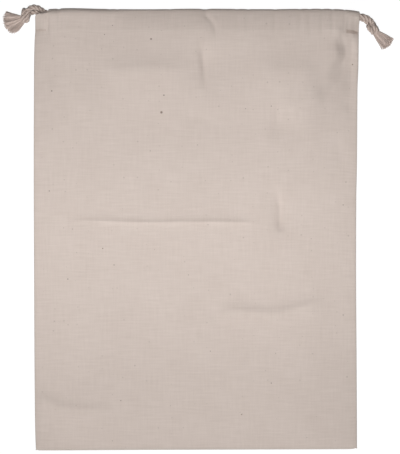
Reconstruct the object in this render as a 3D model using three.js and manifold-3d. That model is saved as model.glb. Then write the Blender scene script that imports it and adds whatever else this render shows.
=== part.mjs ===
// A cotton drawstring storage bag, empty, lying on its back panel with the front panel up.
// Millimetres. +X runs across the bag to the right, +Y towards the mouth and +Z up out of the front panel.
// The origin is on the surface that the bag lies on, under the middle of its outline.

import * as THREE from 'three';
import { mergeVertices } from 'three/addons/utils/BufferGeometryUtils.js';
import Module from 'manifold-3d';

const wasm = await Module();
wasm.setup();

// Driving dimensions
const HALF_WIDTH = 150; // middle of the bag to a side seam
const CLOTH = 1; // thickness of the cotton
const CLEAR = 0.3; // gap kept between pieces that touch
const CORD = 4; // diameter of a drawcord
const CORD_ROOM = 0.45; // gap between a cord and the casing round it
const CASING_DEPTH = 19; // mouth fold to the line of stitches below the cord
const CORD_SET_BACK = 4.6; // mouth fold to the middle of the cord
const STITCH_DROP = 1.2; // how far the front casing falls from over the cord to its stitches
const MOUTH_GAPE = 5.6; // how far the two casings part at the middle of the mouth
const CROWN = 7.7; // rise of the front panel above its seams
const SIDE_RUN = 55; // distance from a side seam over which the panel gains that rise
const BOTTOM_RUN = 62; // the same from the bottom seam
const SLIT_RUN = 14; // length of the rise to the casing at a side, where it is tacked down
const SLIT_HEIGHT = 5.05; // middle of the front panel's cloth at that tack
const SLIT_PULL = 24; // distance from a side over which the casing's stitches come down to the tack
const MOUTH_RUN = 95; // length of the rise to the casing at the middle of the bag
const BACK_INSET = 0.4; // how far the back panel's edges lie inside the front panel's

// Heights of the layers above the surface, at the middle of each layer
const CASING_RADIUS = CORD / 2 + CORD_ROOM + CLOTH / 2;
const BACK_HEIGHT = CLOTH / 2;
const BACK_CORD_HEIGHT = BACK_HEIGHT + CASING_RADIUS;
const SEAM_HEIGHT = BACK_HEIGHT + CLOTH + CLEAR;
const FRONT_CORD_HEIGHT = BACK_CORD_HEIGHT + 2 * CASING_RADIUS + CLOTH + CLEAR;

// Outline of the bag, edge by edge: the casing is drawn back at the left corner and droops at the right
const LEFT_EDGE = [
  { y: -206, x: -149.5 },
  { y: -170, x: -150.4 },
  { y: -120, x: -150.8 },
  { y: -30, x: -151 },
  { y: 60, x: -151.3 },
  { y: 150, x: -151 },
  { y: 185, x: -150.1 },
  { y: 197.5, x: -149.9 },
  { y: 199.4, x: -148.8 },
  { y: 200.6, x: -142.5 },
  { y: 202, x: -138 },
  { y: 206, x: -136.8 },
];
const RIGHT_EDGE = [
  { y: -206, x: 148.6 },
  { y: -198, x: 149.1 },
  { y: -130, x: 148.9 },
  { y: -30, x: 148.1 },
  { y: 30, x: 148.3 },
  { y: 100, x: 149 },
  { y: 150, x: 150.4 },
  { y: 190, x: 150.9 },
  { y: 195, x: 151.4 },
  { y: 206, x: 151.4 },
];
const TOP_EDGE = [
  { x: -151, y: 204.8 },
  { x: -124, y: 205.6 },
  { x: -90, y: 205.1 },
  { x: -40, y: 204.7 },
  { x: 10, y: 205.1 },
  { x: 60, y: 204.7 },
  { x: 122, y: 205 },
  { x: 138, y: 204.2 },
  { x: 151.4, y: 202.1 },
];
const BOTTOM_EDGE = [
  { x: -150, y: -205.6 },
  { x: -60, y: -205.1 },
  { x: 60, y: -204.6 },
  { x: 140, y: -204.3 },
  { x: 150, y: -203.6 },
];

// Creases and soft folds of the front panel: their lines on the bag, heights, half widths and end tapers
const FOLDS = [
  { name: 'cross crease', rise: 1.2, spread: 5, taper: 0.12,
    line: [[-121, 9.5], [-80, 8.4], [-43, 7.2], [-6, 7.9], [57, 7.2]] },
  { name: 'drag from the right slit', rise: -3.6, spread: 6.5, taper: 0.3,
    line: [[137, 190], [136.5, 172], [135, 160], [130, 148], [120, 137]] },
  { name: 'tail of the drag', rise: -1.4, spread: 9, taper: 0.3,
    line: [[128, 146], [107, 129], [82, 113], [70, 94], [66, 72]] },
  { name: 'short dent', rise: -0.9, spread: 5.5, taper: 0.3,
    line: [[74, 40], [76, 18], [79, -2]] },
  { name: 'lower right wave', rise: 1.3, spread: 7, taper: 0.25,
    line: [[13, -72], [40, -69], [73, -74], [96, -67], [122, -61]] },
  { name: 'lower left wave', rise: 1, spread: 7, taper: 0.2,
    line: [[-150, -155], [-134, -157], [-127, -166], [-90, -162], [-64, -164]] },
  { name: 'swell under the casing, left', rise: 1.2, spread: 13, taper: 0.3,
    line: [[-98, 146], [-50, 148], [2, 148]] },
  { name: 'swell under the casing, right', rise: 1.2, spread: 13, taper: 0.3,
    line: [[48, 148], [85, 147], [118, 150]] },
];
const FOLD_SAMPLES = 40; // points along a fold's line that a distance is measured to
const FOLD_FADE = 12; // folds die out over this distance from a seam or from the casing's stitches

// Mesh rows of each panel, as distances up from the bottom seam: closer at the seam and at the cross crease
const FRONT_BANDS = [{ to: 30, rows: 4 }, { to: 200, rows: 13 }, { to: 228, rows: 6 }, { to: 391, rows: 15 }];
const BACK_BANDS = [{ to: 30, rows: 2 }, { to: 391, rows: 8 }];
const FRONT_COLUMNS = 30;
const BACK_COLUMNS = 16;
const END_CROWDING = 0.45; // how much closer the columns stand at the side seams, from 0 to 1

// Free ends of the cords, outwards from the casing, at the middle of the cord
const FRONT_CORD_LEFT = [[-133, 200.2, 11.85], [-137.5, 200.8, 11.55], [-141.5, 202.4, 11.2],
  [-147, 205.8, 10.2], [-152, 206.6, 8.6], [-155.4, 205, 7.2], [-157, 203, 6.4]];
const FRONT_CORD_RIGHT = [[150, 198.6, 10.65], [155, 197.9, 9.9], [159.4, 196, 8.6], [162.8, 192.8, 7.2],
  [164.6, 189.9, 6.4]];
const BACK_CORD_LEFT = [[-136, 200.5, 3.45], [-142, 201.3, 3.45], [-147.3, 202, 3.4], [-152, 202, 3.1],
  [-155.1, 200.6, 3.4]];
const BACK_CORD_RIGHT = [[138, 199.2, 3.45], [150, 196.7, 3.45], [155, 195.4, 3.3], [158, 193.5, 3.1],
  [160.4, 190.6, 3.5]];
const CASING_STATIONS = [-115, -80, -40, 0, 40, 80, 120]; // places across the bag where a hidden cord is led
const LAY = 13; // length of one full turn of the cord's three strands
const STRAND_RELIEF = 0.13; // depth of the twist, as a share of the radius
const CORD_SIDES = 9;
const FREE_END = 24; // length at each end that shows its twist
const FREE_STEP = 1.7;
const HIDDEN_STEP = 11;

// Overhand knots, whose turns lean, and the frayed ends beyond them. Headings are in degrees from +X.
const KNOTS = [
  { side: 'left', centre: [-158.8, 199, 4.9], heading: 176, lean: -10,
    across: 7.5, height: 4.8, wrapPitch: 1.85 },
  { side: 'right', centre: [163.6, 186.9, 4.9], heading: -56, lean: 7,
    across: 4.8, height: 4.8, wrapPitch: 2.15 },
];
const TASSELS = [
  { side: 'left', neck: [-162.4, 194.8, 4.3], from: 144, to: 262, locks: 12,
    reach: [{ at: 0, length: 17.2 }, { at: 0.4, length: 16.8 }, { at: 0.65, length: 16.4 },
      { at: 1, length: 8.5 }] },
  { side: 'right', neck: [167.2, 182.5, 4.3], from: -20, to: -69, locks: 8,
    reach: [{ at: 0, length: 16.6 }, { at: 0.35, length: 16.9 }, { at: 1, length: 16.3 }] },
];
const LOCK = 1.25; // thickness of one lock of frayed yarn
const LOCK_LAYERS = [{ tip: 0.1, share: 1 }, { tip: 1.5, share: 0.96 }, { tip: 2.9, share: 0.86 }];
const LOCK_UNEVENNESS = 0.09; // share of their length by which locks differ
const HEAD_RADIUS = 3.4; // the bundle of yarn where it leaves the knot
const ROOT_SPREAD = 2.2; // how far to each side the locks start in that bundle

const cotton = new THREE.MeshStandardMaterial({ color: 0xd0c1b7, roughness: 0.95, metalness: 0 });
const cordCotton = new THREE.MeshStandardMaterial({ color: 0xcfc0b2, roughness: 0.9, metalness: 0 });

const { clamp, degToRad, lerp, smoothstep } = THREE.MathUtils;

// Value of one column of a short table at a place along another, on a smooth line through the rows
function readAlong(table, from, to, place) {
  const last = table.length - 1;
  let i = 0;
  while (i < last - 1 && place > table[i + 1][from]) i += 1;
  const slope = (a, b) => (table[b][to] - table[a][to]) / (table[b][from] - table[a][from]);
  const width = table[i + 1][from] - table[i][from];
  const t = clamp((place - table[i][from]) / width, 0, 1);
  const straight = slope(i, i + 1);
  const easeIn = i > 0 ? gentler(slope(i - 1, i), straight) : straight;
  const easeOut = i + 1 < last ? gentler(straight, slope(i + 1, i + 2)) : straight;
  return table[i][to] * (1 + 2 * t) * (1 - t) ** 2 + table[i + 1][to] * t * t * (3 - 2 * t)
    + width * (easeIn * t * (1 - t) ** 2 - easeOut * t * t * (1 - t));
}

// Slope at a row between two stretches: none at a peak, otherwise the harmonic mean, which never overshoots
function gentler(a, b) {
  return a * b <= 0 ? 0 : (2 * a * b) / (a + b);
}

const leftEdge = (y) => readAlong(LEFT_EDGE, 'y', 'x', y);
const rightEdge = (y) => readAlong(RIGHT_EDGE, 'y', 'x', y);
const topEdge = (x) => readAlong(TOP_EDGE, 'x', 'y', x);
const bottomEdge = (x) => readAlong(BOTTOM_EDGE, 'x', 'y', x);

// Rise of a soft pillow from its seam: steepest at the seam and level once its run is covered
const swell = (t) => 1 - (1 - clamp(t, 0, 1)) ** 2;

const foldLines = FOLDS.map(({ line }) => {
  const curve = new THREE.SplineCurve(line.map(([x, y]) => new THREE.Vector2(x, y)));
  return curve.getSpacedPoints(FOLD_SAMPLES);
});

// Height that all creases and soft folds add at one place
function foldRise(x, y) {
  let total = 0;
  FOLDS.forEach(({ rise, spread, taper }, i) => {
    let nearest = Infinity;
    let place = 0;
    foldLines[i].forEach((point, j) => {
      const distance = Math.hypot(point.x - x, point.y - y);
      if (distance < nearest) {
        nearest = distance;
        place = j / FOLD_SAMPLES;
      }
    });
    const ends = smoothstep(Math.min(place, 1 - place), 0, taper);
    total += rise * ends * Math.exp(-((nearest / spread) ** 2));
  });
  return total;
}

const frontCordHeight = (x) => FRONT_CORD_HEIGHT + MOUTH_GAPE * Math.max(0, 1 - (x / HALF_WIDTH) ** 2);

// Distance to the nearer side seam
const toSide = (x, y) => Math.min(x - leftEdge(y), rightEdge(y) - x);

// How far the tack at the foot of a slit pulls the front casing's stitches down
function slitDrop(x, y) {
  const stitches = frontCordHeight(x) + CASING_RADIUS - STITCH_DROP;
  return (stitches - SLIT_HEIGHT) * (1 - smoothstep(toSide(x, y), 0, SLIT_PULL));
}

// Middle of the front panel's cloth, from the bottom seam to the stitches of its casing
function frontHeight(x, y) {
  const stitches = topEdge(x) - CASING_DEPTH;
  const sides = swell(toSide(x, y) / SIDE_RUN);
  const pillow = sides * swell((y - bottomEdge(x)) / BOTTOM_RUN);
  const resting = SEAM_HEIGHT + pillow * CROWN;
  const rising = smoothstep(y, stitches - lerp(SLIT_RUN, MOUTH_RUN, sides), stitches);
  const casing = frontCordHeight(x) + CASING_RADIUS - STITCH_DROP - slitDrop(x, y);
  const held = Math.min(toSide(x, y), y - bottomEdge(x), stitches - y);
  return lerp(resting, casing, rising) + foldRise(x, y) * smoothstep(held, 0, FOLD_FADE);
}

// Section of a casing from its stitches, over the cord, round the mouth fold and back to the hem's end.
// Each row is a distance back from the fold, a rise above the middle of the cord and the share of a tack's
// pull that it follows.
function casingSection(drop) {
  const rows = [];
  const run = CASING_DEPTH - CORD_SET_BACK;
  for (const t of [0.3, 0.6, 0.86]) {
    const eased = smoothstep(t, 0, 1);
    rows.push({ back: CASING_DEPTH - run * t, rise: CASING_RADIUS - drop * (1 - eased), pulled: 1 - eased });
  }
  for (let angle = 90; angle >= -90; angle -= 30) {
    const turn = degToRad(angle);
    const back = CORD_SET_BACK - (CORD_SET_BACK - CLOTH / 2) * Math.cos(turn);
    rows.push({ back, rise: CASING_RADIUS * Math.sin(turn), pulled: 0 });
  }
  const hemEnd = CASING_RADIUS - drop - CLOTH - CLEAR;
  for (const t of [0.33, 0.66, 1]) {
    const eased = smoothstep(t, 0, 1);
    const rise = lerp(-CASING_RADIUS, hemEnd, eased);
    rows.push({ back: CORD_SET_BACK + run * t, rise, pulled: eased });
  }
  return rows;
}

// Closed sheet of even thickness about a grid of points, given row by row
function sheetSolid(grid, thickness) {
  const rows = grid.length;
  const columns = grid[0].length;
  const half = thickness / 2;
  const corners = [];
  const at = (i, j) => grid[clamp(i, 0, rows - 1)][clamp(j, 0, columns - 1)];
  for (const side of [half, -half]) {
    for (let i = 0; i < rows; i += 1) {
      for (let j = 0; j < columns; j += 1) {
        const across = at(i, j + 1).clone().sub(at(i, j - 1));
        const along = at(i + 1, j).clone().sub(at(i - 1, j));
        corners.push(across.cross(along).normalize().multiplyScalar(side).add(at(i, j)));
      }
    }
  }
  const faces = [];
  const top = (i, j) => i * columns + j;
  const under = (i, j) => rows * columns + top(i, j);
  for (let i = 0; i + 1 < rows; i += 1) {
    for (let j = 0; j + 1 < columns; j += 1) {
      faces.push(top(i, j), top(i, j + 1), top(i + 1, j + 1));
      faces.push(top(i, j), top(i + 1, j + 1), top(i + 1, j));
      faces.push(under(i, j), under(i + 1, j + 1), under(i, j + 1));
      faces.push(under(i, j), under(i + 1, j), under(i + 1, j + 1));
    }
  }
  const rim = (a, b) => faces.push(top(...b), top(...a), under(...a), top(...b), under(...a), under(...b));
  for (let j = 0; j + 1 < columns; j += 1) {
    rim([0, j], [0, j + 1]);
    rim([rows - 1, j + 1], [rows - 1, j]);
  }
  for (let i = 0; i + 1 < rows; i += 1) {
    rim([i + 1, 0], [i, 0]);
    rim([i, columns - 1], [i + 1, columns - 1]);
  }
  return indexed(corners, faces);
}

function indexed(corners, faces) {
  const geometry = new THREE.BufferGeometry().setFromPoints(corners);
  geometry.setIndex(faces);
  geometry.computeVertexNormals();
  return geometry;
}

// Distances up from the bottom seam of a panel's mesh rows
function rowDistances(bands) {
  const distances = [0];
  for (const { to, rows } of bands) {
    const from = distances.at(-1);
    for (let i = 1; i <= rows; i += 1) distances.push(lerp(from, to, i / rows));
  }
  return distances;
}

// Points across one row of a panel: even columns that crowd towards the side seams and follow the bag's edges
function acrossRow(columns, inset, yAt, heightAt) {
  const points = [];
  for (let j = 0; j <= columns; j += 1) {
    const even = j / columns;
    const u = lerp(even, 0.5 - 0.5 * Math.cos(Math.PI * even), END_CROWDING);
    const straight = lerp(-HALF_WIDTH, HALF_WIDTH, u);
    const y = yAt(straight);
    const nearLeft = (leftEdge(y) + HALF_WIDTH + inset) * (1 - u) ** 6;
    const nearRight = (rightEdge(y) - HALF_WIDTH - inset) * u ** 6;
    const x = straight + nearLeft + nearRight;
    points.push(new THREE.Vector3(x, y, heightAt(x, y)));
  }
  return points;
}

function frontPanel() {
  const distances = rowDistances(FRONT_BANDS);
  const length = distances.at(-1);
  const grid = distances.map((distance) => {
    const yAt = (x) => lerp(bottomEdge(x), topEdge(x) - CASING_DEPTH, distance / length);
    return acrossRow(FRONT_COLUMNS, 0, yAt, frontHeight);
  });
  for (const { back, rise, pulled } of casingSection(STITCH_DROP)) {
    const heightAt = (x, y) => frontCordHeight(x) + rise - pulled * slitDrop(x, y);
    grid.push(acrossRow(FRONT_COLUMNS, 0, (x) => topEdge(x) - back, heightAt));
  }
  return sheetSolid(grid, CLOTH);
}

function backPanel() {
  const distances = rowDistances(BACK_BANDS);
  const length = distances.at(-1);
  const grid = distances.map((distance) => {
    const bottom = (x) => bottomEdge(x) + BACK_INSET;
    const yAt = (x) => lerp(bottom(x), topEdge(x) - BACK_INSET - CASING_DEPTH, distance / length);
    return acrossRow(BACK_COLUMNS, BACK_INSET, yAt, () => BACK_HEIGHT);
  });
  for (const { back, rise } of casingSection(0)) {
    const yAt = (x) => topEdge(x) - BACK_INSET - back;
    grid.push(acrossRow(BACK_COLUMNS, BACK_INSET, yAt, () => BACK_CORD_HEIGHT - rise));
  }
  return sheetSolid(grid, CLOTH);
}

// Route of a cord from its left end, through its casing, to its right end
function cordRoute(left, right, heightAt) {
  const hidden = CASING_STATIONS.map((x) => [x, topEdge(x) - CORD_SET_BACK, heightAt(x)]);
  const points = [...left.toReversed(), ...hidden, ...right].map((point) => new THREE.Vector3(...point));
  return new THREE.CatmullRomCurve3(points);
}

// Cord of three twisted strands, with close steps only where its twist shows
function cordSolid(route) {
  const length = route.getLength();
  const stations = [];
  const stepAt = (s) => (Math.min(s, length - s) < FREE_END ? FREE_STEP : HIDDEN_STEP);
  for (let s = 0; s < length; s += stepAt(s)) stations.push(s);
  stations.push(length);
  const up = new THREE.Vector3(0, 0, 1);
  const corners = [];
  const faces = [];
  stations.forEach((station) => {
    const u = station / length;
    const middle = route.getPointAt(u);
    const tangent = route.getTangentAt(u);
    const side = up.clone().cross(tangent).normalize();
    const upright = tangent.cross(side);
    const shown = Math.min(station, length - station);
    const twist = (2 * Math.PI * Math.min(shown, FREE_END) * Math.sign(length / 2 - station)) / LAY;
    const relief = STRAND_RELIEF * (1 - smoothstep(shown, FREE_END - CORD, FREE_END));
    for (let k = 0; k < CORD_SIDES; k += 1) {
      const angle = (2 * Math.PI * k) / CORD_SIDES;
      const radius = (CORD / 2) * (1 - relief * (k % 3 ? 1 : 0));
      const corner = middle.clone();
      corner.addScaledVector(side, radius * Math.cos(angle + twist));
      corner.addScaledVector(upright, radius * Math.sin(angle + twist));
      corners.push(corner);
    }
  });
  const ring = (i, k) => i * CORD_SIDES + (k % CORD_SIDES);
  for (let i = 0; i + 1 < stations.length; i += 1) {
    for (let k = 0; k < CORD_SIDES; k += 1) {
      faces.push(ring(i, k), ring(i, k + 1), ring(i + 1, k + 1));
      faces.push(ring(i, k), ring(i + 1, k + 1), ring(i + 1, k));
    }
  }
  const end = stations.length - 1;
  for (let k = 1; k + 1 < CORD_SIDES; k += 1) {
    faces.push(ring(0, 0), ring(0, k + 1), ring(0, k), ring(end, 0), ring(end, k), ring(end, k + 1));
  }
  return solidOf(indexed(corners, faces));
}

// Closed solid for joining and cutting, from a geometry
function solidOf(geometry) {
  for (const name of ['normal', 'uv']) geometry.deleteAttribute(name);
  const merged = mergeVertices(geometry);
  return new wasm.Manifold(new wasm.Mesh({
    numProp: 3,
    vertProperties: Float32Array.from(merged.attributes.position.array),
    triVerts: Uint32Array.from(merged.index.array),
  }));
}

// Geometry of the largest body of a solid: what a cut leaves loose is dropped
function geometryOf(solid) {
  const bodies = solid.decompose().sort((a, b) => b.volume() - a.volume());
  const { vertProperties, triVerts } = bodies[0].getMesh();
  const geometry = new THREE.BufferGeometry();
  geometry.setAttribute('position', new THREE.BufferAttribute(vertProperties, 3));
  geometry.setIndex(new THREE.BufferAttribute(triVerts, 1));
  geometry.computeVertexNormals();
  return geometry;
}

// Overhand knot: two turns of cord side by side round the strands that pass through them
function knotSolid({ centre, heading, lean, across, height, wrapPitch }, extra) {
  const tube = CORD / 2;
  const wide = across - tube;
  const tall = height - tube;
  const place = new THREE.Matrix4().makeRotationZ(degToRad(heading)).setPosition(...centre);
  const core = new THREE.SphereGeometry(1, 12, 8);
  core.scale(wrapPitch + tube + extra, wide + extra, tall + extra);
  let knot = solidOf(core.applyMatrix4(place));
  for (const turn of [-1, 1]) {
    const wrap = new THREE.TorusGeometry(wide, tube + extra, 8, 16);
    const { position } = wrap.attributes;
    for (let i = 0; i < position.count; i += 1) {
      const angle = Math.atan2(position.getY(i), position.getX(i));
      position.setY(i, position.getY(i) + (tall - wide) * Math.sin(angle));
    }
    wrap.rotateX(Math.PI / 2).rotateZ(Math.PI / 2 + degToRad(lean));
    wrap.translate(wrapPitch * turn, 0, 0);
    knot = knot.add(solidOf(wrap.applyMatrix4(place)));
  }
  return knot;
}

// Frayed ends of both cords: layers of yarn locks that fan out from their bundle and lie down on the surface
function tasselSolid({ neck, from, to, locks, reach }) {
  const root = new THREE.Vector3(...neck);
  const axis = degToRad(lerp(from, to, 0.5));
  const outwards = new THREE.Vector3(Math.cos(axis), Math.sin(axis), 0);
  const sideways = new THREE.Vector3(-outwards.y, outwards.x, 0).multiplyScalar(Math.sign(to - from));
  const head = new THREE.SphereGeometry(HEAD_RADIUS, 10, 6).scale(1.3, 1, 1);
  head.rotateZ(axis).translate(root.x, root.y, root.z);
  let tassel = solidOf(head);
  const half = LOCK / 2;
  const square = new THREE.Shape([[-half, -half], [half, -half], [half, half], [-half, half]]
    .map(([x, y]) => new THREE.Vector2(x, y)));
  LOCK_LAYERS.forEach(({ tip, share }, layer) => {
    for (let i = 0; i < locks; i += 1) {
      const place = clamp((i + 0.25 + 0.25 * layer) / locks, 0, 1);
      const angle = degToRad(lerp(from, to, place));
      const direction = new THREE.Vector3(Math.cos(angle), Math.sin(angle), 0);
      const uneven = 1 - LOCK_UNEVENNESS * ((i * 3 + layer * 2) % 4) / 3;
      const length = readAlong(reach, 'at', 'length', place) * share * uneven;
      const low = tip + half;
      const start = root.clone().addScaledVector(sideways, lerp(-ROOT_SPREAD, ROOT_SPREAD, place));
      start.setZ(lerp(root.z, low, 0.3));
      const finish = root.clone().addScaledVector(direction, length).setZ(low);
      const bend = start.clone().addScaledVector(outwards, 0.15 * length);
      bend.addScaledVector(direction, 0.3 * length);
      const route = new THREE.QuadraticBezierCurve3(start, bend.setZ(low + 0.6), finish);
      const lock = new THREE.ExtrudeGeometry(square, { steps: 2, bevelEnabled: false, extrudePath: route });
      tassel = tassel.add(solidOf(lock));
    }
  });
  return tassel;
}

const bag = new THREE.Group();

function place(name, geometry, material) {
  const mesh = new THREE.Mesh(geometry, material);
  mesh.name = name;
  bag.add(mesh);
}

place('front_panel', frontPanel(), cotton);
place('back_panel', backPanel(), cotton);

const roomForKnots = KNOTS.map((knot) => knotSolid(knot, CLEAR));
const clearOfKnots = (solid) => geometryOf(roomForKnots.reduce((rest, knot) => rest.subtract(knot), solid));

const cords = [
  { name: 'front_cord', left: FRONT_CORD_LEFT, right: FRONT_CORD_RIGHT, heightAt: frontCordHeight },
  { name: 'back_cord', left: BACK_CORD_LEFT, right: BACK_CORD_RIGHT, heightAt: () => BACK_CORD_HEIGHT },
];
for (const { name, left, right, heightAt } of cords) {
  place(name, clearOfKnots(cordSolid(cordRoute(left, right, heightAt))), cordCotton);
}
KNOTS.forEach((knot) => place(`${knot.side}_knot`, geometryOf(knotSolid(knot, 0)), cordCotton));
TASSELS.forEach((tassel) => place(`${tassel.side}_tassel`, clearOfKnots(tasselSolid(tassel)), cordCotton));

export default bag;
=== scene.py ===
import math

import bpy
import numpy as np
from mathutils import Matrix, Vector, noise


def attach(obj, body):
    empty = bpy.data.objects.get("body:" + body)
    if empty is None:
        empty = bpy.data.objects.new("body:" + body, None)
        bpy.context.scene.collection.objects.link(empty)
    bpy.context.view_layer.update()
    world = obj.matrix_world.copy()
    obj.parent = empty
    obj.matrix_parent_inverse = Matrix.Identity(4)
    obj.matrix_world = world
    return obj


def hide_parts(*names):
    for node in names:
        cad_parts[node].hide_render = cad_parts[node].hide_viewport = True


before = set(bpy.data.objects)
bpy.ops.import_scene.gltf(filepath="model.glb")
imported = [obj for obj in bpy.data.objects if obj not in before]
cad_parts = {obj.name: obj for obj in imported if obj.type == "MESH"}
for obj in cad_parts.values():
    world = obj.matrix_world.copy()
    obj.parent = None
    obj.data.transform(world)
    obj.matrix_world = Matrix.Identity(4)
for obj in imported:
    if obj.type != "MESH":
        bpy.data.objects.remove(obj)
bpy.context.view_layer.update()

# Camera: a long lens straight above the bag, so that it is seen square on as it lies.
# The picture is 400 by 454 pixels, and its middle lies a little to the right of the bag's middle.
PICTURE_SPAN = 0.4218  # from the top of the picture to its foot
PICTURE_LEVEL = 0.003  # height at which the span is measured, just above the seams
PICTURE_MIDDLE = (0.0032, 0.00243)
LENS = 1000.0  # focal length in millimetres, as is the sensor
SENSOR = 36.0


def add_object(name, data):
    """New object in the scene."""
    made = bpy.data.objects.new(name, data)
    bpy.context.scene.collection.objects.link(made)
    return made


lens = bpy.data.cameras.new("camera")
lens.lens = LENS
lens.sensor_width = SENSOR
camera = add_object("camera", lens)
camera.location = (*PICTURE_MIDDLE, PICTURE_LEVEL + PICTURE_SPAN * LENS / SENSOR)
bpy.context.scene.camera = camera

# Calico: the plain-woven, unbleached cotton of both panels, about half a millimetre thick.
# Its yarn is uneven, so single threads show as fainter or thicker streaks, with flecks of seed husk.
CLOTH = 0.0005
THREAD = 0.00045  # from one thread to the next
STRAY = 0.0007  # how far threads stray from their lines
YARN_STREAKS = (1.73, 55.0)  # a yarn's shade: step from thread to thread, changes in a metre along it
SLUB_STREAKS = (620.0, 48.0)  # slubs: changes in a metre across the threads and along them
YARN_RELIEF = 0.25  # how much higher a pale yarn stands
YARN_SHARE = 0.6  # weight of a yarn's own shade beside that of its slubs
WEFT_SHARE = 0.6  # the rest is the warp's
THREAD_CONTRAST = 0.30
CLOUD_SHARES = (0.376, 0.536)  # of the pale colour, over patches of the cloth
CALICO = (0.555, 0.468, 0.418)
CALICO_PALE = (0.680, 0.592, 0.540)
# colour of the painted shade along the seams and at the slits
SEAM_SHADE = (0.400, 0.345, 0.305)
SEAM_SHADE_SHARE = 0.55
HUSK = (0.150, 0.098, 0.070)
SPECKS = (  # small flecks all over, at most one in each cell
    {"Cell": 0.011, "Largest": 0.0010, "Share": 0.28, "Strength": 0.28},
    {"Cell": 0.037, "Largest": 0.0007, "Share": 0.35, "Strength": 0.8},
)
SPECK_LEAST = 0.35  # size and strength of the least of them, as shares of the most
FLECK_STRENGTH = 0.85
FLECK_EDGE = (0.5, 1.3)  # radii over which a larger fleck fades out
FLECKS = (  # the larger flecks on the front: place and radius
    (-0.1345, 0.1288, 0.00068), (-0.0854, 0.1810, 0.00048), (-0.0422, 0.1769, 0.00090),
    (-0.0303, 0.1248, 0.00070), (-0.0326, 0.1089, 0.00120), (-0.0430, 0.0731, 0.00040),
    (0.1449, 0.1534, 0.00068), (0.0694, 0.1147, 0.00050), (0.0455, 0.1123, 0.00038),
    (-0.1368, 0.0359, 0.00053), (-0.0871, -0.0175, 0.00060), (-0.0766, -0.0328, 0.00050),
    (-0.1195, -0.0459, 0.00058), (0.1362, 0.0229, 0.00050), (-0.1193, -0.0884, 0.00038),
    (-0.0703, -0.1588, 0.00050), (0.0417, -0.1717, 0.00054), (0.0694, -0.1425, 0.00050),
    (0.0128, -0.1128, 0.00044), (0.1362, -0.0793, 0.00050),
)


def feed(tree, socket, value):
    """Link an input to another node's output, or set it to a value."""
    if isinstance(value, bpy.types.NodeSocket):
        tree.links.new(value, socket)
    else:
        socket.default_value = value


def node(tree, kind, inputs=None, **settings):
    """New node in a tree, with its settings made and its inputs fed."""
    made = tree.nodes.new(kind)
    for name, value in settings.items():
        setattr(made, name, value)
    for name, value in (inputs or {}).items():
        feed(tree, made.inputs[name], value)
    return made


def output(tree, kind, inputs=None, **settings):
    """First output of a new node."""
    return node(tree, kind, inputs, **settings).outputs[0]


def maths(tree, operation, *values):
    """Output of a Math node on numbers or sockets."""
    return output(tree, "ShaderNodeMath", dict(enumerate(values)), operation=operation)


def vectors(tree, operation, *values):
    """Vector output of a Vector Math node on vectors or sockets."""
    return output(tree, "ShaderNodeVectorMath", dict(enumerate(values)), operation=operation)


def xyz(tree, x, y, z):
    """Vector of three numbers or sockets."""
    return output(tree, "ShaderNodeCombineXYZ", {"X": x, "Y": y, "Z": z})


def parts_of(tree, vector):
    """The three numbers of a vector."""
    return node(tree, "ShaderNodeSeparateXYZ", {0: vector}).outputs


def noise_at(tree, place, scale, detail):
    """Outputs of a noise: one value first, and three more as a colour."""
    return node(tree, "ShaderNodeTexNoise", {"Vector": place, "Scale": scale, "Detail": detail}).outputs


def ramp(tree, value, low, high, start=0.0, end=1.0):
    """Output that goes from start to end as a value goes from low to high."""
    inputs = {"Value": value, "From Min": low, "From Max": high, "To Min": start, "To Max": end}
    return output(tree, "ShaderNodeMapRange", inputs)


def blend(tree, factor, first, second):
    """Colour between two colours."""
    mix = node(tree, "ShaderNodeMix", data_type="RGBA")
    for name, value in (("Factor", factor), ("A", first), ("B", second)):
        socket = next(s for s in mix.inputs if s.name == name and s.enabled)
        feed(tree, socket, (*value, 1.0) if isinstance(value, tuple) else value)
    return next(s for s in mix.outputs if s.enabled)


def new_tree(kind, name, inputs, outputs):
    """New node tree with named inputs and outputs of some kinds, and the sockets that stand for them."""
    tree = bpy.data.node_groups.new(name, kind)
    for way, sockets in (("INPUT", inputs), ("OUTPUT", outputs)):
        for socket, value in sockets.items():
            tree.interface.new_socket(name=socket, in_out=way, socket_type="NodeSocket" + value)
    return tree, tree.nodes.new("NodeGroupInput").outputs, tree.nodes.new("NodeGroupOutput").inputs


def streaks(tree, across, along, seed, detail):
    """Noise from -1 to 1, drawn out along threads. Across and along are each a measure and its scale."""
    spot = xyz(tree, maths(tree, "MULTIPLY", *across), maths(tree, "MULTIPLY", *along), seed)
    return ramp(tree, noise_at(tree, spot, scale=1.0, detail=detail)[0], 0.2, 0.8, start=-1.0, end=1.0)


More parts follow.
